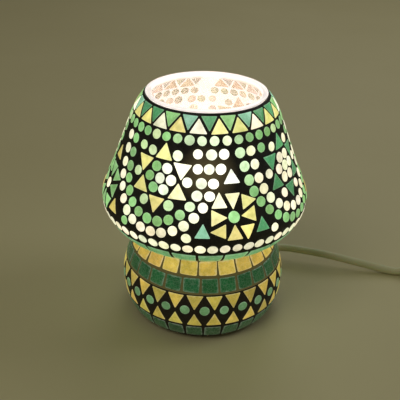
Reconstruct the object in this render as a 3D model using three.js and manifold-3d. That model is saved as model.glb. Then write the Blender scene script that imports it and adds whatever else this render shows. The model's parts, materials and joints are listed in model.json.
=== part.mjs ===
// Mosaic glass table lamp: a blown glass vessel covered with a mosaic skin, an E14 lamp holder and bulb,
// and a cord with an in-line rocker switch and a flat two-pin plug.
// Millimetres, +Z up. The origin is the centre of the foot, on the surface that the lamp stands on.
import * as THREE from 'three';
import { mergeVertices } from 'three/addons/utils/BufferGeometryUtils.js';
import Module from 'manifold-3d';

const wasm = await Module();
wasm.setup();

// ---- driving dimensions ----
const GAP = 0.3;                 // left between touching pieces
const ROUND = 32;                // facets round the vessel
const SMALL_ROUND = 16;          // facets round the fitting and the bulb
const STEP = 10;                 // usual length of a facet along the outline
const SKIN = 2.5;                // thickness of grout and tiles
const GLASS = 3;                 // thickness of the blown wall
// Half outline of the vessel over its tiles, from the foot to the rim: [radius, height].
const OUTLINE = [
  [46, 0], [50.8, 3], [55.4, 13], [57.3, 27], [55.3, 39.5], [50.6, 52], [46.8, 59.5], [49.5, 65],
  [57, 67.3], [63.6, 73.6], [68.2, 81.5], [70, 90], [67.6, 99], [62.4, 111], [55.9, 128],
  [47.6, 149.5], [40.5, 160.9],
];
// Bands of the pattern, from the foot up: name, then the distance along the outline where the band ends.
const FOOT_START = 1.4;
const BANDS = [
  ['foot_band', 18.2], ['belly_band', 43.9], ['shoulder_band', 56], ['neck_band', 71.6],
  ['underside_band', 94.2], ['edge_band', 104.6], ['star_field', 163.7], ['collar_band', 170.4],
  ['crown_band', 183.8],
];
const CORD_RADIUS = 3;
const CORD_HEIGHT = 11;          // height of the hole where the cord leaves the foot
const CORD_AZIMUTH = 45;         // degrees from +X towards +Y
const RELIEF_END = 66;           // distance of the strain relief's tip from the lamp's axis
const THREAD = 5;                // outer radius of the threaded tube
const BULB_CENTRE = 105;
const BULB_RADIUS = 22.5;
const SWITCH = { x: 209, y: 32.5, length: 62, width: 26, base: 8.3, top: 17.5, tilt: 8 };
const COIL = { x: 280, y: -13.5, inner: 18.6, outer: 49.3, height: 12.3 };
const TIE = { heading: -75, inner: 17.3, outer: 49.7, width: 9, thick: 0.8 };
const PLUG = { heading: 10, start: 56, length: 36, width: 35.3, thick: 13.7, pin: 19, spread: 18.6 };

// ---- colours ----
const finish = (color, roughness, metalness = 0, opacity = 1) =>
  new THREE.MeshStandardMaterial({ color, roughness, metalness, opacity, transparent: opacity < 1 });
const LOOK = {
  glass: finish(0xf2e9e6, 0.2, 0, 0.45),
  green: finish(0x1f6a45, 0.3),
  light_green: finish(0x96d78c, 0.3),
  yellow: finish(0xd2bb5a, 0.3),
  cream: finish(0xf4efd2, 0.3),
  felt: finish(0x20241f, 0.95),
  strap: finish(0x1b1c1b, 0.95),
  steel: finish(0xb9b9b4, 0.35, 0.9),
  brass: finish(0xc7a557, 0.35, 0.9),
  rubber: finish(0x222222, 0.9),
  shell: finish(0xf0eee8, 0.45),
  bulb: finish(0xfff6dc, 0.1, 0, 0.35),
  cord: finish(0xe9e6da, 0.4),
};

// ---- geometry helpers ----
const pair = ([x, y]) => new THREE.Vector2(x, y);

// A body of revolution about +Z from [radius, height] points, outer side going up.
function revolved(points, segments = SMALL_ROUND) {
  return new THREE.LatheGeometry(points.map(pair), segments).rotateX(Math.PI / 2);
}

// A tube or ring: the profile closes on itself.
function hollow(points, segments = SMALL_ROUND) {
  return revolved([...points, points[0]], segments);
}

function collar(inner, outer, low, high, segments = SMALL_ROUND) {
  return hollow([[outer, low], [outer, high], [inner, high], [inner, low]], segments);
}

function disc(radius, low, high, segments = SMALL_ROUND) {
  return revolved([[0, low], [radius, low], [radius, high], [0, high]], segments);
}

function hexNut(acrossFlats, bore, low, high) {
  const corner = acrossFlats / Math.sqrt(3);
  const angles = [...Array(6).keys()].map((k) => (k * Math.PI) / 3);
  const shape = new THREE.Shape(
    angles.map((a) => new THREE.Vector2(corner * Math.cos(a), corner * Math.sin(a))));
  shape.holes.push(new THREE.Path().absarc(0, 0, bore + 0.4, 0, 2 * Math.PI, true));
  return extruded(shape, low, high);
}

function extruded(shape, low, high, bevel = 0) {
  const depth = high - low - 2 * bevel;
  const geometry = new THREE.ExtrudeGeometry(shape, {
    depth, curveSegments: 4, bevelEnabled: bevel > 0, bevelSize: bevel, bevelThickness: bevel,
    bevelOffset: -bevel, bevelSegments: 1,
  });
  return geometry.translate(0, 0, low + bevel);
}

function roundedBox(length, width, radius) {
  const [a, b] = [length / 2, width / 2];
  const shape = new THREE.Shape();
  shape.absarc(a - radius, b - radius, radius, 0, Math.PI / 2);
  shape.absarc(radius - a, b - radius, radius, Math.PI / 2, Math.PI);
  shape.absarc(radius - a, radius - b, radius, Math.PI, 1.5 * Math.PI);
  shape.absarc(a - radius, radius - b, radius, 1.5 * Math.PI, 2 * Math.PI);
  return shape;
}

// A solid tube that follows a smooth curve through the points.
function tube(points, radius, steps, sides = 8) {
  const section = new THREE.Shape(
    [...Array(sides).keys()].map((k) => {
      const a = (2 * Math.PI * (k + 0.5)) / sides;
      return new THREE.Vector2(radius * Math.cos(a), radius * Math.sin(a));
    }));
  const path = new THREE.CatmullRomCurve3(points.map((p) => new THREE.Vector3(...p)), false, 'centripetal');
  return new THREE.ExtrudeGeometry(section, { steps, extrudePath: path, bevelEnabled: false });
}

// ---- joining and cutting ----
function solid(geometry) {
  const bare = new THREE.BufferGeometry();
  bare.setAttribute('position', geometry.getAttribute('position'));
  bare.setIndex(geometry.getIndex());
  const welded = mergeVertices(bare, 1e-4);
  return new wasm.Manifold(new wasm.Mesh({
    numProp: 3,
    vertProperties: new Float32Array(welded.getAttribute('position').array),
    triVerts: new Uint32Array(welded.getIndex().array),
  }));
}

function faceted(manifold) {
  const mesh = manifold.getMesh();
  const geometry = new THREE.BufferGeometry();
  geometry.setAttribute('position', new THREE.BufferAttribute(mesh.vertProperties, 3));
  geometry.setIndex(new THREE.BufferAttribute(mesh.triVerts, 1));
  return geometry;
}

const cut = (geometry, ...tools) =>
  faceted(tools.reduce((body, tool) => body.subtract(solid(tool)), solid(geometry)));
const joined = (geometry, ...others) =>
  faceted(others.reduce((body, other) => body.add(solid(other)), solid(geometry)));

// ---- the assembly ----
const lamp = new THREE.Group();

function add(name, geometry, material, parent = lamp) {
  const mesh = new THREE.Mesh(geometry, material);
  mesh.name = name;
  parent.add(mesh);
  return mesh;
}

// ---- the vessel's outline, walked by length ----
const outline = new THREE.SplineCurve(OUTLINE.map(pair));
outline.arcLengthDivisions = 800;
const OUTLINE_LENGTH = outline.getLength();

// The point at a distance along the outline, sunk inwards by a depth.
function at(distance, depth) {
  const u = Math.min(Math.max(distance / OUTLINE_LENGTH, 0), 1);
  const point = outline.getPointAt(u);
  const along = outline.getTangentAt(u);
  return [point.x - depth * along.y, point.y + depth * along.x];
}

function walk({ from, to }, depth) {
  const count = Math.max(1, Math.round((to - from) / STEP));
  return [...Array(count + 1).keys()].map((k) => at(from + ((to - from) * k) / count, depth));
}

const spans = BANDS.map(([name, to], k) => ({ name, from: k ? BANDS[k - 1][1] + GAP : FOOT_START, to }));

// A tool along the cord's hole, as a cylinder that points out of the foot.
function alongCord(geometry) {
  return geometry
    .rotateY(Math.PI / 2)
    .rotateZ(THREE.MathUtils.degToRad(CORD_AZIMUTH))
    .translate(0, 0, CORD_HEIGHT);
}

const cordHole = () => alongCord(disc(4.6, 38, 62, 12));

function vessel() {
  const wall = (depth) => spans.flatMap((span, k) => walk(span, depth).slice(k ? 1 : 0));
  const outer = wall(SKIN + GAP);
  const inner = wall(SKIN + GAP + GLASS).filter(([, height]) => height > 8).reverse();
  const lip = [[39.6, 160.9], [39.5, 161.3], [38.9, 161.6], [37, 161.6], [35.8, 160.8]];
  const floor = [[42, 5.4], [30, 5.4], [22, 10], [THREAD + 0.4, 10]];
  const punt = [[THREAD + 0.4, 7], [21, 7], [29, 2.2], [43.6, 2.2]];
  const blown = hollow([...outer, ...lip, ...inner, ...floor, ...punt], ROUND);
  add('glass_body', cut(blown, cordHole()), LOOK.glass);
}

function mosaic() {
  const looks = {
    foot_band: LOOK.green, belly_band: LOOK.yellow, shoulder_band: LOOK.green, neck_band: LOOK.yellow,
    underside_band: LOOK.green, edge_band: LOOK.cream, star_field: LOOK.light_green,
    collar_band: LOOK.light_green, crown_band: LOOK.yellow,
  };
  for (const span of spans) {
    const ring = hollow([...walk(span, 0), ...walk(span, SKIN).reverse()], ROUND);
    const drilled = span.name === 'foot_band' || span.name === 'belly_band';
    add(span.name, drilled ? cut(ring, cordHole()) : ring, looks[span.name]);
  }
}

function fitting() {
  add('foot_pad', collar(26, 43.2, 0, 1.9, ROUND), LOOK.felt);
  add('lower_nut', hexNut(14, THREAD + GAP, 1.7, 4.7), LOOK.steel);
  add('lower_washer', collar(THREAD + GAP, 11, 5, 6.7), LOOK.steel);
  add('nipple', collar(3.6, THREAD, 1, 34), LOOK.brass);
  add('gasket', collar(THREAD + GAP, 13, 10.3, 11.8), LOOK.rubber);
  add('upper_washer', collar(THREAD + GAP, 11, 12.1, 13.1), LOOK.steel);
  add('upper_nut', hexNut(14, THREAD + GAP, 13.4, 16.4), LOOK.steel);
  add('lock_nut', hexNut(14, THREAD + GAP, 21, 24), LOOK.steel);

  const cap = hollow([
    [14, 25.3], [14, 40], [12.6, 40], [12.6, 27], [THREAD + GAP, 27], [THREAD + GAP, 24.3], [13, 24.3]]);
  const entry = disc(3.7, 8, 18, 12).rotateY(Math.PI / 2)
    .rotateZ(THREE.MathUtils.degToRad(CORD_AZIMUTH)).translate(0, 0, 32);
  add('holder_cap', cut(cap, entry), LOOK.shell);
  add('holder_skirt', collar(12.6, 14, 40 + GAP, 71.5), LOOK.shell);
  add('holder_core', revolved([
    [0, 38], [12.3, 38], [12.3, 70], [8.9, 70], [8.9, 47], [0, 47]]), LOOK.shell);
  add('thread_shell', collar(7.4, 8.6, 47.4, 68.5), LOOK.brass);
  add('centre_contact', disc(2.6, 47.3, 49.1, 12), LOOK.brass);
  for (const [side, x] of [['left', -7.5], ['right', 7.5]]) {
    add(`terminal_screw_${side}`, disc(1.9, 34.5, 37.7, 12).translate(x, 0, 0), LOOK.steel);
  }
}

function bulb() {
  const base = BULB_CENTRE - BULB_RADIUS * Math.cos(Math.PI / 5);
  const globe = (radius) => [...Array(9).keys()].map((k) => {
    const a = -0.3 * Math.PI + (0.8 * Math.PI * k) / 8;
    return [k === 8 ? 0 : radius * Math.cos(a), BULB_CENTRE + radius * Math.sin(a)];
  });
  const wall = 0.8;
  const outside = [[5.7, 69], [5.7, 75], [9, 80.5], ...globe(BULB_RADIUS)];
  const inside = [...globe(BULB_RADIUS - wall).reverse(), [8.2, 81], [4.9, 75.4], [4.9, 69]];
  add('bulb_envelope', revolved([...inside, ...outside]), LOOK.bulb);

  const turns = 6;
  const thread = [...Array(2 * turns + 1).keys()].map((k) => [k % 2 ? 6.55 : 7, 55 + (k * 17) / (2 * turns)]);
  add('bulb_screw_cap', hollow([
    [6.7, 53], ...thread, [7, 74.3], [6.4, 74.3], [6, 72.5], [6, 54]]), LOOK.steel);
  add('bulb_insulator', revolved([[0, 50.6], [2.6, 50.6], [5.9, 52.7], [5.9, 54.5], [0, 54.5]]), LOOK.rubber);
  add('bulb_contact', revolved([[0, 49.4], [1.6, 49.6], [2.2, 50.3], [0, 50.3]], 12), LOOK.brass);
  add('bulb_stem', revolved([
    [0, 69.5], [4.5, 69.5], [3.2, 73], [2.4, 80], [2.4, base], [1.6, base + 3],
    [0, base + 3]], 12), LOOK.bulb);
  const foot = base + 3 + GAP;
  add('bulb_filament', tube([
    [-1, 0, foot + 0.4], [-5, 0, foot + 8], [-9, 0, BULB_CENTRE + 1], [-4, 0, BULB_CENTRE + 4],
    [4, 0, BULB_CENTRE + 4], [9, 0, BULB_CENTRE + 1], [5, 0, foot + 8],
    [1, 0, foot + 0.4]], 0.4, 20, 6), LOOK.steel);
}

// ---- the cord and what is on it ----
// A point at a distance from the lamp's axis, on the line through the cord's hole.
function radial(distance, height) {
  const a = THREE.MathUtils.degToRad(CORD_AZIMUTH);
  return [distance * Math.cos(a), distance * Math.sin(a), height];
}

function cordEntry() {
  add('strain_relief', alongCord(revolved([
    [0, 45.6], [4.3, 45.6], [4.3, 56.6], [6.2, 56.6], [6.2, 58.2], [4.8, 58.2], [3.7, RELIEF_END],
    [0, RELIEF_END]], 16)), LOOK.cord);
  add('internal_lead', tube([
    radial(45.2, CORD_HEIGHT), radial(41, CORD_HEIGHT), radial(35, 14), radial(28, 22), radial(20, 30),
    radial(10, 32)], CORD_RADIUS, 12), LOOK.cord);
}

// Hand-laid route from the strain relief to the switch, lifted near the foot and resting on the table
// further on, then up to the switch's entry.
const SWITCH_ENTRY = SWITCH.length / 2 + GAP;
const LAMP_SIDE = [
  radial(RELIEF_END + GAP, CORD_HEIGHT), radial(RELIEF_END + 3, CORD_HEIGHT),
  [54.6, 51.8, 11], [62.8, 54.2, 11], [72, 53.2, 11], [98, 47, 10], [126, 41, 6.3],
  [148, 36.3, 3.2], [156, 34.8, 3.9], [162, 33.8, 5.7], [168, 33, 7.7],
  [SWITCH.x - SWITCH_ENTRY - 4, SWITCH.y, 8.5], [SWITCH.x - SWITCH_ENTRY, SWITCH.y, 8.5]];
const SWITCH_SIDE = [
  [SWITCH.x + SWITCH_ENTRY, SWITCH.y, 8.5], [SWITCH.x + SWITCH_ENTRY + 4, SWITCH.y, 8.2],
  [249, SWITCH.y, 7.2], [255, SWITCH.y, 5.4]];

function inlineSwitch() {
  const group = new THREE.Group();
  group.position.set(SWITCH.x, SWITCH.y, 0);
  lamp.add(group);
  const screwPlaces = [['front', -24], ['back', 24]];

  const boreFor = (x) => joined(disc(3, -1, 2.6, 12), disc(1.7, 2, 7, 12)).translate(x, 0, 0);
  const base = extruded(roundedBox(SWITCH.length, SWITCH.width, 7), 0.4, SWITCH.base, 0.8);
  add('switch_base', cut(base, ...screwPlaces.map(([, x]) => boreFor(x))), LOOK.shell, group);
  for (const [side, x] of screwPlaces) {
    const screw = revolved([[0, 0.7], [2.6, 0.7], [2.6, 2.2], [1.4, 2.2], [1.4, 6.6], [0, 6.6]], 12);
    add(`switch_screw_${side}`, screw.translate(x, 0, 0), LOOK.steel, group);
  }

  const [pivot, key] = [13.2, { length: 22, width: 12 }];
  const window = new THREE.BoxGeometry(key.length + 1.4, key.width + 0.8, 20).translate(0, 0, pivot);
  const axle = (radius, length) =>
    new THREE.CylinderGeometry(radius, radius, length, 12).translate(0, 0, pivot);
  const cover = extruded(roundedBox(SWITCH.length, SWITCH.width, 7), SWITCH.base + GAP, SWITCH.top, 1.6);
  add('switch_cover', cut(cover, window, axle(1.8, key.width + 5)), LOOK.shell, group);

  // Side view of the key, with its two faces meeting over the pivot.
  const side = new THREE.Shape([
    [-10.6, 1.2], [-7, -3], [7, -3], [10.6, 1.2], [10.8, 6], [0, 4.6], [-10.8, 6]].map(pair));
  const block = new THREE.ExtrudeGeometry(side, { depth: key.width, bevelEnabled: false })
    .translate(0, 0, -key.width / 2).rotateX(Math.PI / 2).translate(0, 0, pivot);
  const rocker = joined(block, axle(1.4, key.width + 4))
    .translate(0, 0, -pivot).rotateY(THREE.MathUtils.degToRad(SWITCH.tilt)).translate(0, 0, pivot);
  add('switch_rocker', rocker, LOOK.shell, group);
}

// The plug lies flat beside the coil. Its own +X points along its pins.
function plug() {
  const leave = THREE.MathUtils.degToRad(90 + PLUG.heading);
  const reach = COIL.outer - 7.7;
  const group = new THREE.Group();
  group.position.set(COIL.x + reach * Math.cos(leave), COIL.y + reach * Math.sin(leave), 0);
  group.rotation.z = THREE.MathUtils.degToRad(PLUG.heading);
  lamp.add(group);
  const [middle, back, front] = [PLUG.thick / 2 + 0.2, PLUG.start, PLUG.start + PLUG.length];

  const half = PLUG.width / 2;
  const plan = new THREE.Shape();
  plan.moveTo(back, -9);
  plan.lineTo(back + 20, -11);
  plan.quadraticCurveTo(back + 26, -12, front - 6, -half);
  plan.lineTo(front, -half);
  plan.lineTo(front, half);
  plan.lineTo(front - 6, half);
  plan.quadraticCurveTo(back + 26, 12, back + 20, 11);
  plan.lineTo(back, 9);
  const body = extruded(plan, 0.2, 0.2 + PLUG.thick, 1.2);
  const along = (geometry, y) => geometry.rotateY(Math.PI / 2).translate(0, y, middle);
  const neck = along(revolved([[0, back - 14], [3.9, back - 14], [5.6, back + 2], [0, back + 2]], 12), 0);
  const pins = [['left', PLUG.spread / 2], ['right', -PLUG.spread / 2]];
  const bores = pins.map(([, y]) => along(disc(2.35, front - 8, front + 2, 12), y));
  add('plug_body', cut(joined(body, neck), ...bores), LOOK.cord, group);
  for (const [side, y] of pins) {
    const pin = revolved([[0, front - 7.6], [2, front - 7.6], [2, front + PLUG.pin - 1],
      [1.2, front + PLUG.pin], [0, front + PLUG.pin]], 12);
    add(`plug_pin_${side}`, along(pin, y), LOOK.brass, group);
  }
  // The last stretch of cord, from the coil's side to the plug's neck.
  const end = tube([[31.3, 0, 7.5], [36, 0, 7.2], [back - 14 - GAP, 0, middle]], CORD_RADIUS, 3);
  add('cord_plug_side', end, LOOK.cord, group);
}

// A hook-and-loop strap over the coil. The strip of it under the coil is left out.
function coilTie() {
  const { inner, outer, width, thick } = TIE;
  const [shoulder, top] = [COIL.height - 2.6, COIL.height + GAP + 0.1];
  const side = new THREE.Shape([
    [inner - thick, 0], [inner, 0], [inner, shoulder], [inner + 5, top], [outer - 5, top],
    [outer, shoulder], [outer, 0], [outer + thick, 0], [outer + thick, shoulder + thick / 2],
    [outer - 5 + thick / 2, top + thick], [inner + 5 - thick / 2, top + thick],
    [inner - thick, shoulder + thick / 2]].map(pair));
  const strap = new THREE.ExtrudeGeometry(side, { depth: width, bevelEnabled: false })
    .translate(0, 0, -width / 2).rotateX(Math.PI / 2)
    .rotateZ(THREE.MathUtils.degToRad(TIE.heading)).translate(COIL.x, COIL.y, 0);
  add('cord_tie', strap, LOOK.strap);
}

function cord() {
  cordEntry();
  add('cord_lamp_side', tube(LAMP_SIDE, CORD_RADIUS, 20), LOOK.cord);
  inlineSwitch();
  add('cord_switch_side', tube(SWITCH_SIDE, CORD_RADIUS, 4), LOOK.cord);
  const ring = hollow([
    [COIL.outer - 2, 0], [COIL.outer, 2], [COIL.outer, COIL.height - 3], [COIL.outer - 5, COIL.height],
    [COIL.inner + 5, COIL.height], [COIL.inner, COIL.height - 3], [COIL.inner, 2], [COIL.inner + 2, 0]], 32);
  add('cord_coil', ring.translate(COIL.x, COIL.y, 0), LOOK.cord);
  coilTie();
  plug();
}

vessel();
mosaic();
fitting();
bulb();
cord();

export default lamp;
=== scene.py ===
"""Mosaic glass table lamp: the looks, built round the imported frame.

Lengths in this script are millimetres until on_skin() or MM turns them into metres. An angle on the
vessel is measured from the front, positive to the right. A place on the skin is an angle and a distance
along the vessel's outline from the foot up.
"""

import json
import math
import random

import bmesh
import bpy
import numpy as np
from mathutils import Matrix, Vector
from mathutils.geometry import delaunay_2d_cdt

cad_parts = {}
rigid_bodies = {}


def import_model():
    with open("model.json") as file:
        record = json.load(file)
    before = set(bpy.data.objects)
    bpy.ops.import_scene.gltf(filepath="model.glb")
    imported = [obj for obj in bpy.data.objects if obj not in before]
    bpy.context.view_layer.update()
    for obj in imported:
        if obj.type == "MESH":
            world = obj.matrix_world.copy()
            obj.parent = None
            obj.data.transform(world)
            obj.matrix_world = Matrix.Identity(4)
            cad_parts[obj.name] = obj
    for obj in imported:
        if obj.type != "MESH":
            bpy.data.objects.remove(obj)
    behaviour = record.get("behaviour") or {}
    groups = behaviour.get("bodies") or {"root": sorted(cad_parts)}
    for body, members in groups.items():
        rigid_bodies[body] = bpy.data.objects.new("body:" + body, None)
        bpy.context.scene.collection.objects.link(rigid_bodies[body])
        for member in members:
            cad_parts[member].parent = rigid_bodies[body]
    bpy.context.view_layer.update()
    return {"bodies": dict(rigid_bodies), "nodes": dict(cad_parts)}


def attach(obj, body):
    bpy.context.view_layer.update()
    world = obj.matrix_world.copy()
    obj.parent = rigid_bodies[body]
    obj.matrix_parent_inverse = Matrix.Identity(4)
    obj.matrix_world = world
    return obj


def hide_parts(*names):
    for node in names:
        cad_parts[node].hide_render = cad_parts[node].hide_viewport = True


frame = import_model()
MM = 0.001
RNG = random.Random(7)

# ---- the vessel's outline, as the frame has it ----
SKIN = 2.5  # thickness of grout and tiles
GLASS = 3.0
GAP = 0.3
OUTLINE = [
    (46, 0), (50.8, 3), (55.4, 13), (57.3, 27), (55.3, 39.5), (50.6, 52), (46.8, 59.5), (49.5, 65),
    (57, 67.3), (63.6, 73.6), (68.2, 81.5), (70, 90), (67.6, 99), (62.4, 111), (55.9, 128),
    (47.6, 149.5), (40.5, 160.9),
]
FOOT_START = 1.4  # distance along at which the glass starts
FOOT_SEAL = 0.3  # distance along at which the grout starts: lower than the glass, or light would leak out
BAND_ENDS = {
    "foot_band": 18.2, "belly_band": 43.9, "shoulder_band": 56, "neck_band": 71.6,
    "underside_band": 94.2, "edge_band": 104.6, "star_field": 163.7, "collar_band": 170.4,
    "crown_band": 183.8,
}
BULB_CENTRE = 105.0  # height of the globe's centre
CORD_HEIGHT = 11.0
CORD_AZIMUTH = math.radians(45)  # the way out of the lamp, from the right towards the back


def spline(points, per_span=40):
    """Points of a Catmull-Rom curve through the given ones."""
    given = np.array(points, float)
    last = len(given) - 1
    rows = []
    for i in range(last):
        before, a, b, after = given[max(i - 1, 0)], given[i], given[i + 1], given[min(i + 2, last)]
        for t in np.arange(per_span) / per_span:
            rows.append(0.5 * (2 * a + (b - before) * t + (2 * before - 5 * a + 4 * b - after) * t ** 2
                               + (3 * a - before - 3 * b + after) * t ** 3))
    rows.append(given[-1])
    return np.array(rows)


def lengths_along(points):
    steps = np.linalg.norm(np.diff(points, axis=0), axis=1)
    return np.concatenate([[0.0], np.cumsum(steps)])


CURVE = spline(OUTLINE)
ALONG = lengths_along(CURVE)
SLOPE = np.gradient(CURVE, ALONG, axis=0)


def radius_at(s):
    return float(np.interp(s, ALONG, CURVE[:, 0]))


def on_skin(angle, s, depth):
    """The point in metres at an angle, a distance along the outline and a depth under the tiles' faces."""
    radius, height = (np.interp(s, ALONG, CURVE[:, k]) for k in (0, 1))
    out, up = (np.interp(s, ALONG, SLOPE[:, k]) for k in (0, 1))
    radius, height = radius - depth * up, height + depth * out
    return Vector((radius * math.sin(angle), -radius * math.cos(angle), height)) * MM


# ---- camera ----
def camera():
    data = bpy.data.cameras.new("camera")
    data.lens = 62.9
    data.sensor_width = 36
    data.clip_start = 0.01
    eye = bpy.data.objects.new("camera", data)
    turn = Matrix.Rotation(math.radians(0.39), 4, "Z")
    tilt = Matrix.Rotation(math.radians(90 - 27.73), 4, "X")
    roll = Matrix.Rotation(math.radians(1.17), 4, "Z")
    eye.matrix_world = Matrix.Translation((0, -0.4304, 0.3075)) @ turn @ tilt @ roll
    bpy.context.scene.collection.objects.link(eye)
    bpy.context.scene.camera = eye


# ---- nodes ----
class Nodes:
    """A material's node tree, with short ways to add to it."""

    def __init__(self, name):
        self.material = bpy.data.materials.new(name)
        self.material.use_nodes = True
        self.tree = self.material.node_tree
        self.bsdf = self.tree.nodes["Principled BSDF"]
        self.place = self.add("ShaderNodeTexCoord").outputs["Object"]

    def add(self, kind, **values):
        node = self.tree.nodes.new(kind)
        for name, value in values.items():
            setattr(node, name, value)
        return node

    def link(self, source, target):
        self.tree.links.new(source, target)

    def set(self, **values):
        for name, value in values.items():
            self.bsdf.inputs[name.replace("_", " ")].default_value = value

    def noise(self, scale, detail=3.0, roughness=0.5):
        node = self.add("ShaderNodeTexNoise")
        self.link(self.place, node.inputs["Vector"])
        node.inputs["Scale"].default_value = scale
        node.inputs["Detail"].default_value = detail
        node.inputs["Roughness"].default_value = roughness
        return node.outputs["Fac"]

    def cracks(self, scale, width):
        """1 on the thin lines between the cells of a Voronoi pattern, 0 elsewhere."""
        node = self.add("ShaderNodeTexVoronoi", feature="DISTANCE_TO_EDGE")
        self.link(self.place, node.inputs["Vector"])
        node.inputs["Scale"].default_value = scale
        return self.ramp(node.outputs["Distance"], 0.0, width, 1.0, 0.0)

    def ramp(self, value, from_low, from_high, to_low, to_high):
        node = self.add("ShaderNodeMapRange")
        self.link(value, node.inputs["Value"])
        ends = {"From Min": from_low, "From Max": from_high, "To Min": to_low, "To Max": to_high}
        for name, number in ends.items():
            node.inputs[name].default_value = number
        return node.outputs["Result"]

    def math(self, operation, a, b):
        node = self.add("ShaderNodeMath", operation=operation)
        for k, value in enumerate((a, b)):
            if isinstance(value, (int, float)):
                node.inputs[k].default_value = value
            else:
                self.link(value, node.inputs[k])
        return node.outputs[0]

    def mix(self, factor, a, b, blend="MIX"):
        node = self.add("ShaderNodeMix", data_type="RGBA", blend_type=blend)
        for socket, value in ((node.inputs[0], factor), (node.inputs[6], a), (node.inputs[7], b)):
            if isinstance(value, (int, float)):
                socket.default_value = value
            elif isinstance(value, tuple):
                socket.default_value = (*value, 1)
            else:
                self.link(value, socket)
        return node.outputs[2]

    def attribute(self, name):
        return self.add("ShaderNodeAttribute", attribute_name=name).outputs

    def bump(self, height, strength, distance):
        node = self.add("ShaderNodeBump")
        self.link(height, node.inputs["Height"])
        node.inputs["Strength"].default_value = strength
        node.inputs["Distance"].default_value = distance
        self.link(node.outputs["Normal"], self.bsdf.inputs["Normal"])

    def drive(self, name, source):
        self.link(source, self.bsdf.inputs[name])


def srgb(red, green, blue):
    """Linear colour of a screen colour given from 0 to 255."""
    return tuple(((c / 255 + 0.055) / 1.055) ** 2.4 for c in (red, green, blue))


# ---- materials ----
def art_glass():
    """Lit art glass: each tile's own tint, crackled, paler at its rim, streaked inside, with a painted glow:
    emission that stands in for the bulb's light through the glass.
    """
    m = Nodes("art_glass")
    tint = m.attribute("tint")["Color"]
    glow = m.attribute("glow")["Fac"]
    rim = m.attribute("rim")["Fac"]
    streaks = m.noise(260, 4, 0.65)
    cloud = m.noise(90, 2)
    crackle = m.cracks(520, 0.09)
    shade = m.mix(1.0, tint, (0.42, 0.50, 0.36), "MULTIPLY")
    dark = m.mix(m.ramp(streaks, 0.32, 0.7, 0.0, 0.62), tint, shade)
    pale = m.mix(0.35, tint, (0.92, 0.95, 0.80))
    ragged = m.math("ADD", rim, m.ramp(m.noise(420, 3), 0.3, 0.7, -0.3, 0.12))
    edged = m.mix(m.ramp(ragged, 0.5, 0.95, 0.0, 0.5), dark, pale)
    # Painted shade: the tiles' sides, where rim is near 1, are darkened, which also dims their glow there.
    painted_dark_sides = m.mix(m.ramp(rim, 0.9, 1.0, 0.0, 0.9), edged, m.mix(1.0, tint, (0.10, 0.12, 0.08), "MULTIPLY"))
    glass = m.mix(m.math("MULTIPLY", crackle, 0.14), painted_dark_sides, pale)
    # Painted light: the tile's colour is also its emission, scaled by the glow and a cloudy variation, for
    # the bulb's light through the glass.
    m.drive("Base Color", glass)
    m.drive("Emission Color", glass)
    m.drive("Emission Strength", m.math("MULTIPLY", glow, m.ramp(cloud, 0.25, 0.75, 0.72, 1.18)))
    m.drive("Roughness", m.ramp(streaks, 0.2, 0.8, 0.12, 0.32))
    m.set(IOR=1.5, Coat_Weight=0.3, Coat_Roughness=0.08)
    m.bump(m.math("ADD", m.math("MULTIPLY", crackle, -0.6), m.noise(180, 3)), 0.35, 0.0004)
    return m.material


def tile_back():
    """The tiles' backs, seen through the vessel: pink and brown, dim against the white adhesive."""
    m = Nodes("tile_back")
    tint = m.attribute("tint")["Color"]
    warm = m.mix(m.noise(40, 2), (0.13, 0.065, 0.06), (0.33, 0.17, 0.11))
    m.drive("Base Color", m.mix(0.3, warm, tint))
    m.drive("Roughness", m.ramp(m.noise(300), 0.3, 0.7, 0.35, 0.6))
    return m.material


def grout(name, dark, light, glow=0.0, halo=False):
    """Sanded grout. Some of it gets painted light, the shade's glow on it, and a halo of painted light
    surrounds the bulb's painted bright spot.
    """
    m = Nodes(name)
    grain = m.noise(900, 4, 0.7)
    m.drive("Base Color", m.mix(m.ramp(grain, 0.35, 0.75, 0, 1), dark, light))
    m.drive("Roughness", m.ramp(m.noise(150), 0.3, 0.7, 0.55, 0.85))
    m.bump(grain, 0.5, 0.0003)
    if halo:
        # Painted light: grout near the bulb's painted spot glows, a halo of painted light.
        away = m.add("ShaderNodeVectorMath", operation="DISTANCE")
        m.link(m.place, away.inputs[0])
        away.inputs[1].default_value = on_skin(math.radians(HOT_ANGLE), HOT_S, 0)
        m.drive("Emission Strength", m.ramp(away.outputs["Value"], 0.003, 0.019, 0.13, 0.0))
        m.set(Emission_Color=(0.62, 0.48, 0.20, 1))
    # Painted light: the grout glows faintly in its own lighter colour.
    elif glow:
        m.set(Emission_Color=(*light, 1), Emission_Strength=glow)
    return m.material


def adhesive():
    """White tile adhesive, seen between the tiles' backs."""
    m = Nodes("white_adhesive")
    grain = m.noise(500, 4, 0.6)
    m.drive("Base Color", m.mix(grain, (0.66, 0.60, 0.60), (0.90, 0.86, 0.86)))
    m.drive("Roughness", m.ramp(grain, 0.3, 0.7, 0.5, 0.75))
    m.bump(grain, 0.3, 0.0002)
    return m.material


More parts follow.
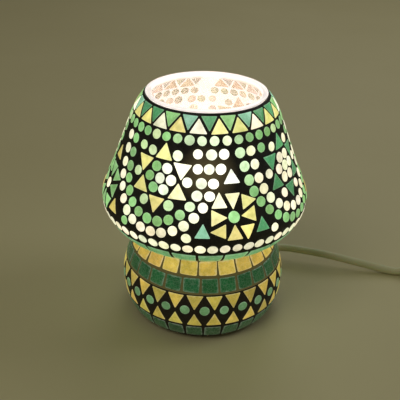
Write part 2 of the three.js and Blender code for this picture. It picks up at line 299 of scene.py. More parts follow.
def blown_glass():
    """Clear, faintly hazed glass. Its lip is denser, and glows with painted light for the lamp's light that
    it carries.
    """
    m = Nodes("blown_glass")
    haze = m.noise(70, 3)
    split = m.add("ShaderNodeSeparateXYZ")
    m.link(m.place, split.inputs["Vector"])
    lip_density_and_painted_glow = m.ramp(split.outputs["Z"], 0.1570, 0.1605, 0.0, 1.0)
    m.drive("Base Color", m.mix(haze, (0.90, 0.78, 0.76), (0.98, 0.90, 0.88)))
    m.drive("Roughness", m.ramp(m.noise(400), 0.3, 0.7, 0.04, 0.16))
    m.drive("Alpha", m.math("ADD", m.ramp(haze, 0.3, 0.7, 0.10, 0.18), m.math("MULTIPLY", lip_density_and_painted_glow, 0.7)))
    # Painted light: the lip glows by emission.
    m.drive("Emission Strength", m.math("MULTIPLY", lip_density_and_painted_glow, 0.75))
    m.set(IOR=1.5, Coat_Weight=0.4, Emission_Color=(1.0, 0.94, 0.90, 1))
    m.bump(m.noise(25, 1), 0.15, 0.001)
    return m.material


def bulb_glass():
    m = Nodes("lit_bulb_glass")
    frost = m.noise(60, 2)
    m.drive("Base Color", m.mix(frost, (1.0, 0.92, 0.78), (1.0, 0.97, 0.90)))
    m.set(Emission_Color=(1.0, 0.93, 0.84, 1), Emission_Strength=3.8, Roughness=0.25)
    m.drive("Alpha", m.ramp(frost, 0.3, 0.7, 0.72, 0.85))
    return m.material


def glowing_wire():
    m = Nodes("glowing_wire")
    m.drive("Base Color", m.mix(m.noise(800), (0.9, 0.55, 0.25), (1.0, 0.75, 0.4)))
    m.set(Emission_Color=(1.0, 0.72, 0.36, 1), Emission_Strength=20.0)
    return m.material


def plastic(name, colour, gloss, mottle=0.06):
    """Moulded plastic, mottled by a share of its colour, with a fine grain."""
    m = Nodes(name)
    grain = m.noise(1400, 3)
    lighter = tuple(min(c * (1 + mottle), 1) for c in colour)
    darker = tuple(c * (1 - mottle) for c in colour)
    m.drive("Base Color", m.mix(m.noise(45, 3), darker, lighter))
    m.drive("Roughness", m.ramp(grain, 0.3, 0.7, gloss - 0.07, gloss + 0.1))
    m.set(IOR=1.46, Subsurface_Weight=0.06, Subsurface_Scale=0.002)
    m.bump(grain, 0.12, 0.0001)
    return m.material


def metal(name, colour, roughness):
    """Plated or plain metal, darker where it is worn, finely scratched."""
    m = Nodes(name)
    scratches = m.noise(700, 5, 0.75)
    worn = tuple(c * 0.75 for c in colour)
    m.drive("Base Color", m.mix(m.ramp(m.noise(120, 4), 0.35, 0.7, 0, 1), colour, worn))
    m.drive("Roughness", m.ramp(scratches, 0.3, 0.75, roughness - 0.08, roughness + 0.18))
    m.set(Metallic=1.0)
    m.bump(scratches, 0.15, 0.0001)
    return m.material


def soft(name, colour, scale, depth):
    """Felt or rubber: rough, with a fine nap or grain."""
    m = Nodes(name)
    nap = m.noise(scale, 5, 0.8)
    m.drive("Base Color", m.mix(nap, tuple(c * 0.6 for c in colour), tuple(c * 1.4 for c in colour)))
    m.set(Roughness=0.95, Sheen_Weight=0.3)
    m.bump(nap, 0.6, depth)
    return m.material


# ---- meshes ----
def piece(name, vertices, faces, materials, slots=None, body="lamp"):
    """A new smooth-shaded mesh that rides a body. slots is each face's material number."""
    mesh = bpy.data.meshes.new(name)
    mesh.from_pydata([tuple(v) for v in vertices], [], faces)
    made = bpy.data.objects.new(name, mesh)
    bpy.context.scene.collection.objects.link(made)
    for material in materials:
        mesh.materials.append(material)
    if slots is not None:
        mesh.polygons.foreach_set("material_index", slots)
    mesh.polygons.foreach_set("use_smooth", [True] * len(mesh.polygons))
    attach(made, body)
    return made


def lathe(name, profile, material, segments=160, body="lamp"):
    """A closed ring from a closed profile of (radius, height), outer side going up."""
    count = len(profile)
    vertices = [
        Vector((r * math.sin(a), -r * math.cos(a), z)) * MM
        for a in (2 * math.pi * k / segments for k in range(segments))
        for r, z in profile
    ]
    faces = [
        (k * count + i, ((k + 1) % segments) * count + i,
         ((k + 1) % segments) * count + (i + 1) % count, k * count + (i + 1) % count)
        for k in range(segments) for i in range(count)
    ]
    return piece(name, vertices, faces, [material], body=body)


# ---- tiles ----
# A look is a colour and how strongly the tile glows, a painted glow that stands in for the bulb's light
# through it.
GREENISH = (srgb(150, 210, 132), 0.9)
FROST = (srgb(222, 238, 244), 1.05)
CREAM = (srgb(252, 245, 212), 1.2)
PALE = (srgb(206, 230, 172), 1.05)
LEMON = (srgb(244, 230, 140), 1.05)
STRAW = (srgb(232, 208, 110), 0.9)
TEAL = (srgb(88, 166, 112), 0.75)
SEA = (srgb(150, 208, 176), 0.95)
WHITE = (srgb(246, 250, 226), 1.1)
GOLD = (srgb(208, 174, 76), 1.05)
BOTTLE = (srgb(38, 98, 56), 0.5)
MUSTARD = (srgb(206, 180, 80), 0.72)
SAGE = (srgb(112, 160, 110), 0.65)
MOSS = (srgb(48, 92, 56), 0.4)
UNDER = (srgb(116, 184, 122), 0.8)
# Painted highlight: the bulb showing through the front of the shade is painted onto the tiles' tint and glow
# as one over-bright spot, fixed on the shade: its angle, distance along and size.
HOT_ANGLE, HOT_S, HOT_SIZE = 2.0, 147.0, 25.0
HOT_COLOUR = (1.0, 0.96, 0.84)
# A tile's section, from its back over its edge to its crown: scale of the outline, depth and
# nearness to the rim.
TILE_BACK = SKIN - 0.15
TILE_RINGS = (
    (1.0, TILE_BACK, 1.0), (1.0, 0.42, 1.0), (0.955, 0.12, 0.85), (0.82, 0.0, 0.6), (0.45, -0.1, 0.3),
)
TILE_CROWN = -0.14
DOT_CORNERS = 18
LONGEST_EDGE = 2.2  # a straight side of a tile is cut into parts of about this length, to follow the skin


class Tiles:
    """The tiles of one band: gathers closed solids, and the outlines that the grout leaves open."""

    def __init__(self, band):
        self.band = band
        self.vertices, self.faces, self.slots = [], [], []
        self.tint, self.glow, self.rim = [], [], []
        self.outlines = []

    def add(self, angle, s, outline, look):
        """One tile with its centre at an angle in degrees and a distance s. outline is its corners in mm,
        anticlockwise as seen from outside, x along the skin's circle and y up the outline."""
        colour, glow = look
        value = RNG.uniform(0.82, 1.12)
        tint = [c * value * RNG.uniform(0.94, 1.06) for c in colour]
        glow *= RNG.uniform(0.85, 1.1)
        # Painted highlight: tiles near the fixed spot are paled towards HOT_COLOUR and glow more.
        beside = math.radians((angle - HOT_ANGLE + 180) % 360 - 180) * radius_at(s)
        painted_bulb_spot = math.exp(-((beside ** 2 + (s - HOT_S) ** 2) / HOT_SIZE ** 2) ** 2)
        tint = [c + (hot - c) * painted_bulb_spot * 0.85 for c, hot in zip(tint, HOT_COLOUR)]
        glow *= 1 + 0.7 * painted_bulb_spot
        around = math.radians(angle)
        low = min(y for _, y in outline) + s
        high = max(y for _, y in outline) + s
        tilt = RNG.uniform(-0.12, 0.12)

        def spot(x, y, depth):
            return on_skin(around + x / radius_at(s + y), s + y, depth + tilt * y / max(high - low, 1))

        self.outlines.append([(around + x / radius_at(s + y), s + y) for x, y in outline])
        start = len(self.vertices)
        count = len(outline)
        for scale, depth, rim in TILE_RINGS:
            self.vertices += [spot(x * scale, y * scale, depth) for x, y in outline]
            self.rim += [rim] * count
        self.vertices += [spot(0, 0, TILE_CROWN), spot(0, 0, TILE_BACK)]
        self.rim += [0.0, 0.0]
        for ring in range(len(TILE_RINGS) - 1):
            for k in range(count):
                a, b = start + ring * count + k, start + ring * count + (k + 1) % count
                self.faces.append((a, b, b + count, a + count))
                self.slots.append(0)
        top, middle = start + (len(TILE_RINGS) - 1) * count, start + len(TILE_RINGS) * count
        for k in range(count):
            self.faces.append((top + k, top + (k + 1) % count, middle))
            self.slots.append(0)
            self.faces.append((start + (k + 1) % count, start + k, middle + 1))
            self.slots.append(1)
        added = len(self.vertices) - start
        self.tint += [(*tint, 1.0)] * added
        self.glow += [glow] * added

    def dot(self, angle, s, look, diameter=6.7):
        """A round tile, slightly flattened and uneven."""
        angle += RNG.uniform(-0.15, 0.15)
        s += RNG.uniform(-0.12, 0.12)
        size = diameter / 2 * RNG.uniform(0.95, 1.04)
        flat = RNG.uniform(0.93, 1.0)
        phase = RNG.uniform(0, math.pi)
        points = []
        for k in range(DOT_CORNERS):
            a = 2 * math.pi * k / DOT_CORNERS
            r = size * (1 - (1 - flat) * math.cos(a - phase) ** 2) * RNG.uniform(0.985, 1.015)
            points.append((r * math.cos(a), r * math.sin(a)))
        self.add(angle, s, points, look)

    def shape(self, angle, s, corners, look, rounding=0.7):
        """A cut tile with straight sides and slightly rounded, slightly uneven corners."""
        moved = [(x + RNG.uniform(-0.25, 0.25), y + RNG.uniform(-0.25, 0.25)) for x, y in corners]
        points = []
        count = len(moved)
        for k in range(count):
            before, here, after = (np.array(moved[(k + j) % count]) for j in (-1, 0, 1))
            back = (before - here) / np.linalg.norm(before - here)
            on = (after - here) / np.linalg.norm(after - here)
            first, last = here + back * rounding, here + on * rounding
            points += [first, (first + last) / 4 + here / 2, last]
            length = np.linalg.norm(after - here) - 2 * rounding
            parts = max(2, round(length / LONGEST_EDGE))
            points += [last + on * length * j / parts for j in range(1, parts)]
        self.add(angle, s, [(float(p[0]), float(p[1])) for p in points], look)

    def triangle(self, angle, s, side, height, turn, look):
        """A triangle round its centroid. At turn 0 its apex points up the outline."""
        c, n = math.cos(math.radians(turn)), math.sin(math.radians(turn))
        corners = [(-side / 2, -height / 3), (side / 2, -height / 3), (0, height * 2 / 3)]
        self.shape(angle, s, [(x * c - y * n, x * n + y * c) for x, y in corners], look)

    def square(self, angle, s, width, height, look):
        x, y = width / 2, height / 2
        corners = [(-x, -y), (x, -y), (x, y), (-x, y)]
        self.shape(angle, s, corners, look, rounding=0.9)

    def panel(self, angle, low, high, spread, joint, look):
        """A four-sided tile that fills its share of a row, in degrees, less a joint."""
        middle, half = (low + high) / 2, (high - low) / 2
        narrow, wide = (math.radians(spread) * radius_at(s) / 2 - joint / 2 for s in (low, high))
        corners = [(-narrow, -half), (narrow, -half), (wide, half), (-wide, half)]
        self.shape(angle, middle, corners, look, rounding=0.9)

    def finish(self, materials):
        """Makes the band's tiles one piece, which carries tint, glow and nearness to a rim."""
        made = piece(f"{self.band}_tiles", self.vertices, self.faces, materials, self.slots)
        mesh = made.data
        for name, kind, key, values in (
            ("tint", "FLOAT_COLOR", "color", self.tint), ("glow", "FLOAT", "value", self.glow),
            ("rim", "FLOAT", "value", self.rim),
        ):
            layer = mesh.attributes.new(name, kind, "POINT")
            layer.data.foreach_set(key, np.array(values, np.float32).ravel())


def round_row(count, phase):
    """Evenly spaced angles in degrees, the first at phase."""
    return [phase + 360 * k / count for k in range(count)]


def crown(t):
    """Two rows of triangles point into each other."""
    count = 23
    for k, angle in enumerate(round_row(count, -5.3)):
        t.triangle(angle, 174.4, 11.2, 9.7, 0, LEMON if k % 3 else CREAM)
        t.triangle(angle + 180 / count, 178.9, 10.3, 9.6, 180, (TEAL, GREENISH, SEA, TEAL)[k % 4])


def collar(t):
    for k, angle in enumerate(round_row(41, -2.4)):
        t.dot(angle, 167.05, PALE if k % 5 == 2 else GREENISH, 6.15)


STAR_S = 141.7  # distance along of the stars' centres
ARM_TOP = 159.0  # distance along at which the horseshoes' arms end
HORSESHOE_PITCH = 7.55
LEFT_STAR, RIGHT_STAR = -28, 61


def star(t, angle, rays, left, right, notch):
    """Seven dots packed as a hexagon, six rays pointing out, and six dots in the notches between them."""
    packed, notched, pointing = 7.5, 17.7, 15.05  # distances of dots, notch dots and rays from the centre

    def beside(x, y):
        return angle + math.degrees(x / radius_at(STAR_S + y)), STAR_S + y

    t.dot(*beside(0, 0), right, 7.0)
    for k in range(6):
        a = math.radians(60 * k)
        look = left if math.cos(a) < -0.3 else right
        t.dot(*beside(packed * math.cos(a), packed * math.sin(a)), look, 6.9)
        t.dot(*beside(notched * math.cos(a), notched * math.sin(a)), notch, 6.4)
        out = math.radians(90 + 60 * k)
        t.triangle(*beside(pointing * math.cos(out), pointing * math.sin(out)), 11.7, 10.2, 60 * k, rays)


def horseshoe(t, angle, radius, look, splay=0.0):
    """A row of dots under a star: half a circle below it, then two arms up to the collar. The right arm
    stands off by splay."""
    steps = round(math.pi * radius / HORSESHOE_PITCH)
    spots = [(radius * math.cos(a), radius * math.sin(a))
             for a in (math.pi + math.pi * k / steps for k in range(steps + 1))]
    rise = ARM_TOP - STAR_S
    arms = round(rise / HORSESHOE_PITCH)
    spots += [(side * radius + max(side, 0) * splay, rise * k / arms) for side in (-1, 1)
              for k in range(1, arms + 1)]
    for x, y in spots:
        s = STAR_S + y
        t.dot(angle + math.degrees(x / radius_at(s)), s, look, 6.7)


def flower(t, angle, s, petals, centre):
    """A dot with eight petals: four point inwards, four turn round it like a pinwheel."""
    t.dot(angle, s, centre, 7.4)
    for k in range(4):
        for start, away, side, height, turn in ((0, 11.0, 10.0, 10.0, 90), (43, 12.5, 9.6, 9.8, -90)):
            a = math.radians(start + 90 * k)
            x, y = away * math.cos(a), away * math.sin(a)
            t.triangle(angle + math.degrees(x / radius_at(s + y)), s + y, side, height, 90 * k + turn, petals)


def star_field(t):
    """Two stars in their horseshoes and the flowers between them, at the front and again at the back."""
    for half in (0, 180):
        a, b = LEFT_STAR + half, RIGHT_STAR + half
        star(t, a, LEMON, GREENISH, WHITE if half == 0 else CREAM, PALE)
        horseshoe(t, a, 26.3, GREENISH, splay=3.0)
        horseshoe(t, a, 33.6, CREAM, splay=3.0)
        star(t, b, TEAL, CREAM, CREAM, CREAM)
        horseshoe(t, b, 26.3, CREAM)
        horseshoe(t, b, 33.6, GREENISH)
        for angle, s, look in (
            (a - 18.2, 158.2, PALE), (a + 23.0, 159.2, CREAM), (a + 23.4, 150.2, CREAM),
            (b - 20, 159.2, GREENISH), (b + 20, 159.2, GREENISH), (a + 19.5, 107.9, CREAM),
            (a - 18, 108.2, GREENISH), (b - 21.5, 108.6, CREAM), (b + 21.5, 108.6, GREENISH),
        ):
            t.dot(angle, s, look, 6.2)
        flower(t, a + 44.3, 121.0, LEMON, GREENISH)
        flower(t, b + 45.5, 120.6, GREENISH, CREAM)
        for angle, s, look in (
            (a + 27.5, 111.6, SEA), (a + 60, 112.4, TEAL), (a + 44.5, 144.2, FROST),
            (b + 28.8, 111.2, STRAW), (b + 61, 111.4, STRAW), (b + 45.5, 142.6, STRAW),
        ):
            t.triangle(angle, s, 10.2, 9.4, 0, look)


def edge(t):
    for angle in round_row(56, -1.4):
        t.dot(angle, 99.4, CREAM, 6.9)


def underside(t):
    for angle in round_row(24, 4.2):
        t.panel(angle, 74.0, 92.6, 15.0, 1.5, UNDER)


def neck(t):
    for angle in round_row(24, 4.2):
        t.square(angle, 61.6, 11.6, 9.6, GOLD)


def shoulder(t):
    for angle in round_row(27, 5.5):
        t.square(angle, 50.1, 11.0, 9.8, BOTTLE)


def belly(t):
    for angle in round_row(27, -4.7):
        t.triangle(angle, 39.6, 11.2, 10.6, 180, MUSTARD)
        t.triangle(angle, 23.2, 10.6, 10.4, 0, MUSTARD)
    for angle in round_row(27, 2.0):
        t.dot(angle, 32.3, SAGE, 6.8)


def foot(t):
    """Squares all round, but for the one that the cord's relief takes the place of."""
    relief_angle = 90 + math.degrees(CORD_AZIMUTH)
    for angle in round_row(27, 8.2):
        if abs((angle - relief_angle + 180) % 360 - 180) > 7:
            t.square(angle, 12.6, 11.0, 10.2, MOSS)


# ---- grout ----
COLUMNS = 150  # of the net, all round
ROW_HEIGHT = 2.6
SCALE = 55.0  # turns an angle into about its length, so that the net's triangles are even
NET_STEP = 2 * math.pi * SCALE / COLUMNS
TILE_REACH = 12  # no tile reaches farther than this from its centre, across or along
EDGE_ROOM = 0.02  # between a tile and its band's end


def border(start, end, left, right, rows):
    """The points round the edge of a band's net."""
    chain = [(left + NET_STEP * k, start) for k in range(COLUMNS + 1)]
    chain += [(right, start + (end - start) * k / rows) for k in range(1, rows + 1)]
    chain += [(right - NET_STEP * k, end) for k in range(1, COLUMNS + 1)]
    chain += [(left, end - (end - start) * k / rows) for k in range(1, rows)]
    return chain


def web(band, start, end, tiles, materials):
    """The grout of one band: a ring with a hole for each tile, grout outside and white adhesive inside."""
    rows = max(2, round((end - start) / ROW_HEIGHT))
    left, right = -math.pi * SCALE, math.pi * SCALE
    points = border(start, end, left, right, rows)
    edges = [(k, (k + 1) % len(points)) for k in range(len(points))]
    holes = []
    for outline in tiles.outlines:
        middle = sum(a for a, _ in outline) / len(outline)
        shift = -2 * math.pi * round(middle / (2 * math.pi))
        for turn in (-1, 0, 1):
            moved = [((a + shift + turn * 2 * math.pi) * SCALE, s) for a, s in outline]
            if all(left < x < right and start + EDGE_ROOM < y < end - EDGE_ROOM for x, y in moved):
                base = len(points)
                points += moved
                edges += [(base + k, base + (k + 1) % len(moved)) for k in range(len(moved))]
                holes.append(np.array(moved))
    centres = np.array([h.mean(0) for h in holes])

    def open_at(x, y, margin):
        close = np.flatnonzero((np.abs(centres - (x, y)) < TILE_REACH).all(1))
        return any(inside_polygon(holes[c], x, y, margin) for c in close)

    for i in range(COLUMNS):
        for j in range(1, rows):
            x, y = left + NET_STEP * (i + 0.5), start + (end - start) * j / rows
            if not open_at(x, y, 0.5):
                points.append((x, y))
    verts, _, faces, _, _, _ = delaunay_2d_cdt([Vector(p) for p in points], edges, [], 0, 1e-4)
    flat = np.array([tuple(v) for v in verts])
    kept = [tuple(f) for f in faces if not open_at(*flat[list(f)].mean(0), 0)]
    return thicken(band, flat, kept, materials)


def inside_polygon(polygon, x, y, margin):
    """True if the point is inside the polygon, or within margin of one of its corners."""
    px, py = polygon[:, 0], polygon[:, 1]
    qx, qy = np.roll(px, -1), np.roll(py, -1)
    crosses = (py > y) != (qy > y)
    with np.errstate(divide="ignore", invalid="ignore"):
        at = px + (y - py) / (qy - py) * (qx - px)
    odd = bool(np.count_nonzero(crosses & (x < at)) % 2)
    return odd or (margin > 0 and float(np.hypot(px - x, py - y).min()) < margin)


def grout_depth(x, s):
    """The grout lies half a millimetre under the tiles' faces, and is slightly uneven."""
    return 0.5 + 0.12 * math.sin(37 * s + 11 * x)


def thicken(band, flat, faces, materials):
    """Turns the flat net into a solid ring on the skin, welded where its two ends meet."""
    made = bmesh.new()
    top = [made.verts.new(on_skin(x / SCALE, s, grout_depth(x, s))) for x, s in flat]
    low = [made.verts.new(on_skin(x / SCALE, s, SKIN)) for x, s in flat]
    used = set()
    for f in faces:
        made.faces.new([top[i] for i in f]).material_index = 0
        made.faces.new([low[i] for i in reversed(f)]).material_index = 1
        used.update(zip(f, (*f[1:], f[0])))
    seam = [abs(abs(x) - math.pi * SCALE) < 1e-2 for x, _ in flat]
    for a, b in sorted(used):
        if (b, a) not in used and not (seam[a] and seam[b]):
            made.faces.new((top[b], top[a], low[a], low[b])).material_index = 0
    bmesh.ops.remove_doubles(made, verts=made.verts, dist=1e-6)
    loose = [v for v in made.verts if not v.link_faces]
    bmesh.ops.delete(made, geom=loose, context="VERTS")
    bmesh.ops.recalc_face_normals(made, faces=made.faces)
    mesh = bpy.data.meshes.new(f"{band}_grout")
    made.to_mesh(mesh)
    made.free()
    for material in materials:
        mesh.materials.append(material)
    ring = bpy.data.objects.new(f"{band}_grout", mesh)
    bpy.context.scene.collection.objects.link(ring)
    mesh.polygons.foreach_set("use_smooth", [True] * len(mesh.polygons))
    mesh.set_sharp_from_angle(angle=math.radians(50))
    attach(ring, "lamp")
    return ring


PATTERNS = {
    "foot_band": foot, "belly_band": belly, "shoulder_band": shoulder, "neck_band": neck,
    "underside_band": underside, "edge_band": edge, "star_field": star_field, "collar_band": collar,
    "crown_band": crown,
}


def mosaic():
    """Each band's tiles and the ring of grout round them, from the foot up."""
    # Black grout, with a halo of painted light round the bulb's painted spot.
    black = grout("black_grout", (0.006, 0.006, 0.005), (0.028, 0.027, 0.021), halo=True)
    # Neck and shoulder grout: olive, painted light of the shade's glow on dark grout, and a faint glow of its
    # own.
    glow_lit_olive = grout("olive_grout", (0.075, 0.062, 0.018), (0.13, 0.108, 0.035), glow=0.4)
    brown = grout("brown_grout", (0.016, 0.012, 0.008), (0.045, 0.034, 0.022))
    fills = {"neck_band": glow_lit_olive, "shoulder_band": glow_lit_olive, "belly_band": brown, "foot_band": brown}
    start = FOOT_SEAL
    glass, back, paste = art_glass(), tile_back(), adhesive()
    for band, end in BAND_ENDS.items():
        tiles = Tiles(band)
        PATTERNS[band](tiles)
        tiles.finish([glass, back])
        ring = web(band, start, end, tiles, [fills.get(band, black), paste])
        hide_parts(band)
        start = end


# ---- the vessel ----
def wall(depth, start, end):
    """Profile points at a depth, about 2.5 mm apart, from one distance along the outline to another."""
    count = max(2, round(abs(end - start) / 2.5))
    rows = []
    for s in np.linspace(start, end, count + 1):
        point = on_skin(math.pi / 2, s, depth) / MM
        rows.append((point.x, point.z))
    return rows


def vessel():
    """The blown glass, with its fire-polished lip, its floor and the punt under it."""
    outer = wall(SKIN + GAP, FOOT_START, BAND_ENDS["crown_band"])
    inner = wall(SKIN + GAP + GLASS, BAND_ENDS["crown_band"], 9.5)
    lip = [tuple(p) for p in spline(
        [(39.6, 160.9), (39.5, 161.3), (38.9, 161.6), (37, 161.6), (35.8, 160.8), (35.6, 159.6)], 5)]
    floor = [tuple(p) for p in spline([(42, 5.6), (31, 5.5), (22, 9.8), (5.4, 10)], 8)]
    punt = [tuple(p) for p in spline([(5.4, 7), (21, 6.9), (29, 2.3), (43.6, 2.2)], 8)]
    made = lathe("vessel", outer + lip + inner + floor + punt, blown_glass())
    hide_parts("glass_body")


# ---- the bulb ----
def bulb():
    """A lit golf-ball bulb: a thin globe round a glowing wire. Its cap and stem are the frame's own."""
    centre, radius, thin = BULB_CENTRE, 22.5, 0.8
    turns = np.linspace(-0.3 * math.pi, 0.5 * math.pi, 30)

    def globe(r):
        return [(r * math.cos(a), centre + r * math.sin(a)) for a in turns]

    outside = [(5.7, 69), (5.7, 74.5), (6.6, 77), (9.4, 81), *globe(radius)[1:]]
    inside = [*reversed(globe(radius - thin)[1:]), (8.6, 81.4), (5.8, 77.4), (4.9, 75), (4.9, 69)]
    profile = outside[:-1] + [(0.01, centre + radius), (0.01, centre + radius - thin)] + inside[1:]
    made = lathe("bulb_globe", profile, bulb_glass(), 96, "bulb")
    made.visible_shadow = False
    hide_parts("bulb_envelope")


def bulb_light():
    """The bulb's light on the glass and the table. It rides with the bulb."""
    data = bpy.data.lights.new("bulb_light", "POINT")
    data.energy = 0.11
    data.color = (1.0, 0.91, 0.82)
    data.shadow_soft_size = 0.018
    light = bpy.data.objects.new("bulb_light", data)
    light.location = (0, 0, BULB_CENTRE * MM)
    bpy.context.scene.collection.objects.link(light)
    light.parent = frame["bodies"]["bulb"]


# ---- the cord ----
CORD_RADIUS = 3.0
RELIEF_END = 66.0
SWITCH_X, SWITCH_Y, SWITCH_HALF, SWITCH_ENTRY = 209.0, 32.5, 31.0, 8.5
COIL_X, COIL_Y = 280.0, -13.5
COIL_LAST = 41.6  # radius at which the cord leaves the coil
TURN_STEPS = 60
PLUG_HEADING = math.radians(10)
PLUG_NECK = 42.0  # from where the cord leaves the coil to the plug's neck
PLUG_HEIGHT = 7.05


def radial(distance, height):
    """A point on the line on which the cord leaves the lamp."""
    return (distance * math.cos(CORD_AZIMUTH), distance * math.sin(CORD_AZIMUTH), height)


LAMP_SIDE = [
    radial(RELIEF_END + GAP, CORD_HEIGHT), radial(RELIEF_END + 3, CORD_HEIGHT),
    (54.6, 51.8, 11), (62.8, 54.2, 11), (72, 53.2, 11), (98, 47, 10), (126, 41, 6.3),
    (148, 36.3, 3.2), (156, 34.8, 3.9), (162, 33.8, 5.7), (168, 33, 7.7),
    (SWITCH_X - SWITCH_HALF - 4.3, SWITCH_Y, SWITCH_ENTRY),
    (SWITCH_X - SWITCH_HALF - 0.3, SWITCH_Y, SWITCH_ENTRY),
]
SWITCH_SIDE = [
    (SWITCH_X + SWITCH_HALF + 0.3, SWITCH_Y, SWITCH_ENTRY), (SWITCH_X + SWITCH_HALF + 4.3, SWITCH_Y, 8.2),
    (249, SWITCH_Y, 7.2), (255, SWITCH_Y, 5.4), (261, SWITCH_Y, 3.9), (268, SWITCH_Y, 3.1),
]


def coil_turns():
    """Two layers of turns: inwards on the table, then outwards on top of them, all clockwise."""
    widest, narrowest = 46.0, 21.8
    low_turns, rise_turns, high_turns = 3.9, 0.45, 3.072
    low_height, layer_rise = 3.05, 6.1
    rows = []
    for k in range(int((low_turns + high_turns) * TURN_STEPS) + 1):
        turn = k / TURN_STEPS
        angle = math.pi / 2 - 2 * math.pi * turn
        if turn < low_turns:
            radius = widest + (narrowest - widest) * turn / low_turns
        else:
            radius = narrowest + (COIL_LAST - narrowest) * (turn - low_turns) / high_turns
        lift = min(max((turn - low_turns + 0.1) / rise_turns, 0.0), 1.0)
        height = low_height + layer_rise * lift * lift * (3 - 2 * lift)
        rows.append((COIL_X + radius * math.cos(angle), COIL_Y + radius * math.sin(angle), height))
    return rows


def plug_run():
    """From the coil's top layer straight to the plug's neck."""
    leave = math.pi / 2 + PLUG_HEADING
    start = (COIL_X + COIL_LAST * math.cos(leave), COIL_Y + COIL_LAST * math.sin(leave))
    return [
        (start[0] + d * math.cos(PLUG_HEADING), start[1] + d * math.sin(PLUG_HEADING), z)
        for d, z in ((6, 9.15), (14, 9.1), (22, 8.8), (32, 7.6), (PLUG_NECK - 0.3, PLUG_HEIGHT))
    ]


def cord_material():
    """Milky white PVC over two cores, faintly ribbed, mottled a little grubby, and tinted olive-yellow by
    painted light, the lamp's greenish glow on it.
    """
    m = Nodes("milky_pvc")
    # Painted light: the white PVC's colour is tinted olive-yellow for the lamp's glow on it.
    m.drive("Base Color", m.mix(m.noise(30, 4), (0.54, 0.54, 0.30), (0.72, 0.71, 0.46)))
    m.drive("Roughness", m.ramp(m.noise(500), 0.3, 0.7, 0.28, 0.45))
    m.set(IOR=1.5, Subsurface_Weight=0.25, Subsurface_Scale=0.003, Coat_Weight=0.15)
    m.bump(m.noise(900, 2), 0.08, 0.0001)
    return m.material


def flex(name, points, per_span, material, replaced):
    """One free stretch of the cord as a round curve."""
    line = spline(points, per_span)
    curve = bpy.data.curves.new(name, "CURVE")
    curve.dimensions = "3D"
    curve.bevel_depth = CORD_RADIUS * MM
    curve.bevel_resolution = 5
    curve.use_fill_caps = True
    run = curve.splines.new("POLY")
    run.points.add(len(line) - 1)
    run.points.foreach_set("co", [c for p in line for c in (*(p * MM), 1.0)])
    run.use_smooth = True
    curve.materials.append(material)
    made = bpy.data.objects.new(name, curve)
    bpy.context.scene.collection.objects.link(made)
    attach(made, "lamp")
    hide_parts(*replaced)
    return made


def cords():
    material = cord_material()
    flex("cord_to_switch", LAMP_SIDE, 6, material,
         ["cord_lamp_side"])
    rest = SWITCH_SIDE + coil_turns() + plug_run()
    flex("cord_to_plug", rest, 2, material,
         ["cord_switch_side", "cord_coil", "cord_plug_side"])


# ---- the frame's own nodes ----
def dress(names, material, smooth=True):
    """Gives CAD nodes a material, and soft shading that keeps their edges."""
    for name in names:
        mesh = frame["nodes"][name].data
        mesh.materials.clear()
        mesh.materials.append(material)
        if smooth:
            mesh.polygons.foreach_set("use_smooth", [True] * len(mesh.polygons))
            mesh.set_sharp_from_angle(angle=math.radians(38))


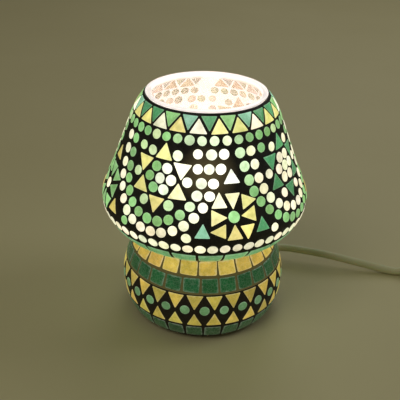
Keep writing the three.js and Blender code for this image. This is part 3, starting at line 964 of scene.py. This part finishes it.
def fitting_and_hardware():
    """The CAD's own nodes that stay visible: holder, bulb cap, switch, plug, relief, strap and pad."""
    zinc = metal("zinc_plate", (0.60, 0.60, 0.58), 0.35)
    brass = metal("brass", (0.74, 0.54, 0.24), 0.3)
    nickel = metal("nickel_plate", (0.72, 0.70, 0.66), 0.18)
    white = plastic("white_abs", (0.80, 0.78, 0.71), 0.32)
    dress(["lower_nut", "lower_washer", "upper_washer", "upper_nut", "lock_nut", "terminal_screw_left",
           "terminal_screw_right", "switch_screw_front", "switch_screw_back"], zinc)
    dress(["nipple", "thread_shell", "centre_contact"], brass)
    dress(["bulb_screw_cap", "plug_pin_left", "plug_pin_right"], nickel)
    dress(["bulb_contact"], metal("solder", (0.55, 0.55, 0.54), 0.4))
    dress(["bulb_insulator"], plastic("vitrite", (0.012, 0.012, 0.014), 0.15))
    dress(["bulb_stem"], bulb_glass())
    dress(["bulb_filament"], glowing_wire())
    dress(["holder_cap", "holder_skirt"], plastic("ivory_phenolic", (0.78, 0.75, 0.66), 0.28, 0.1))
    dress(["holder_core"], plastic("porcelain", (0.82, 0.80, 0.76), 0.12, 0.04))
    dress(["gasket"], soft("rubber", (0.02, 0.02, 0.02), 900, 0.0002))
    dress(["cord_tie"], soft("hook_and_loop_tape", (0.022, 0.022, 0.022), 1500, 0.0004), smooth=False)
    dress(["foot_pad"], soft("felt", (0.05, 0.06, 0.05), 1600, 0.0006))
    dress(["switch_base", "switch_cover", "strain_relief", "plug_body"], white)
    dress(["switch_rocker"], plastic("key_abs", (0.86, 0.85, 0.80), 0.18, 0.03))
    dress(["internal_lead"], bpy.data.materials["milky_pvc"])


# ---- stage ----
def stage():
    """A plain pale table top, wide enough for every view."""
    m = Nodes("table_top")
    m.drive("Base Color", m.mix(m.noise(6, 4), (0.58, 0.53, 0.29), (0.64, 0.59, 0.34)))
    m.set(Roughness=0.55)
    mesh = bpy.data.meshes.new("table_top")
    half = 12.0  # metres
    corners = [(-half, -half, 0), (half, -half, 0), (half, half, 0), (-half, half, 0)]
    mesh.from_pydata(corners, [], [(0, 1, 2, 3)])
    mesh.materials.append(m.material)
    floor = bpy.data.objects.new("table_top", mesh)
    bpy.context.scene.collection.objects.link(floor)


def area_light(name, place, size, energy, colour):
    data = bpy.data.lights.new(name, "AREA")
    data.energy = energy
    data.size = size
    data.color = colour
    light = bpy.data.objects.new(name, data)
    light.location = place
    light.rotation_euler = (Vector((0, 0, 0.08)) - Vector(place)).to_track_quat("-Z", "Y").to_euler()
    bpy.context.scene.collection.objects.link(light)


def lighting():
    """A dim room and three soft lights, so that the lit tiles stand out."""
    world = bpy.data.worlds.new("room")
    bpy.context.scene.world = world
    world.use_nodes = True
    background = world.node_tree.nodes["Background"]
    background.inputs["Color"].default_value = (0.80, 0.75, 0.58, 1)
    background.inputs["Strength"].default_value = 0.11
    area_light("key", (-0.7, -0.9, 1.4), 0.8, 4.5, (1.0, 0.96, 0.88))
    area_light("side", (1.2, 0.2, 0.9), 0.6, 2.5, (0.97, 0.98, 1.0))
    area_light("back", (0.3, 1.3, 1.1), 0.8, 2.5, (1.0, 0.97, 0.92))
    bpy.context.scene.view_settings.view_transform = "Standard"


camera()
cords()
mosaic()
vessel()
bulb()
bulb_light()
fitting_and_hardware()
stage()
lighting()
